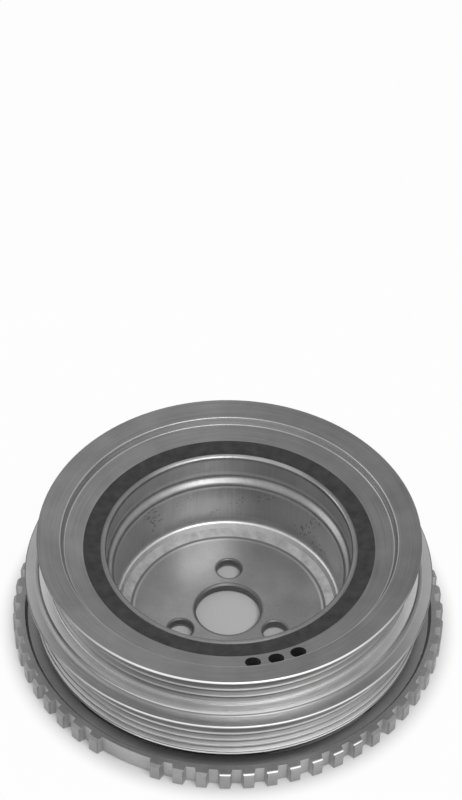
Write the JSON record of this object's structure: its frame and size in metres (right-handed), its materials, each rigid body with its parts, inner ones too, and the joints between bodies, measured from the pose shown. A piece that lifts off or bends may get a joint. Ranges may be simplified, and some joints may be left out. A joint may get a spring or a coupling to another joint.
{
  "type": "harmonic balancer",
  "caption": "Crankshaft vibration damper: stepped ribbed belt pulley bonded by a rubber ring to a drawn hub cup that stands on a toothed, windowed trigger wheel.",
  "frame": {"origin": "centre of the centre bore, on the flat back face that seats on the crankshaft", "axes": "+Z along the crankshaft towards the front of the engine; +Y through the bolt hole opposite the dowel hole; +X completes the right-handed frame"},
  "size_m": [0.164, 0.164, 0.0469],
  "materials": {
    "pressed_steel": "pressed plate with a dull zinc finish, sheared window walls, stamped teeth",
    "drawn_steel": "deep-drawn sheet with fine draw marks along the wall",
    "damper_rubber": "matt moulded black rubber",
    "cast_iron": "turned grey iron, fine lathe rings, bright edges"
  },
  "bodies": {
    "root": {"trigger_wheel": "pressed_steel", "hub_cup": "drawn_steel", "rubber_ring": "damper_rubber", "pulley_ring": "cast_iron"}
  },
  "joints": []
}
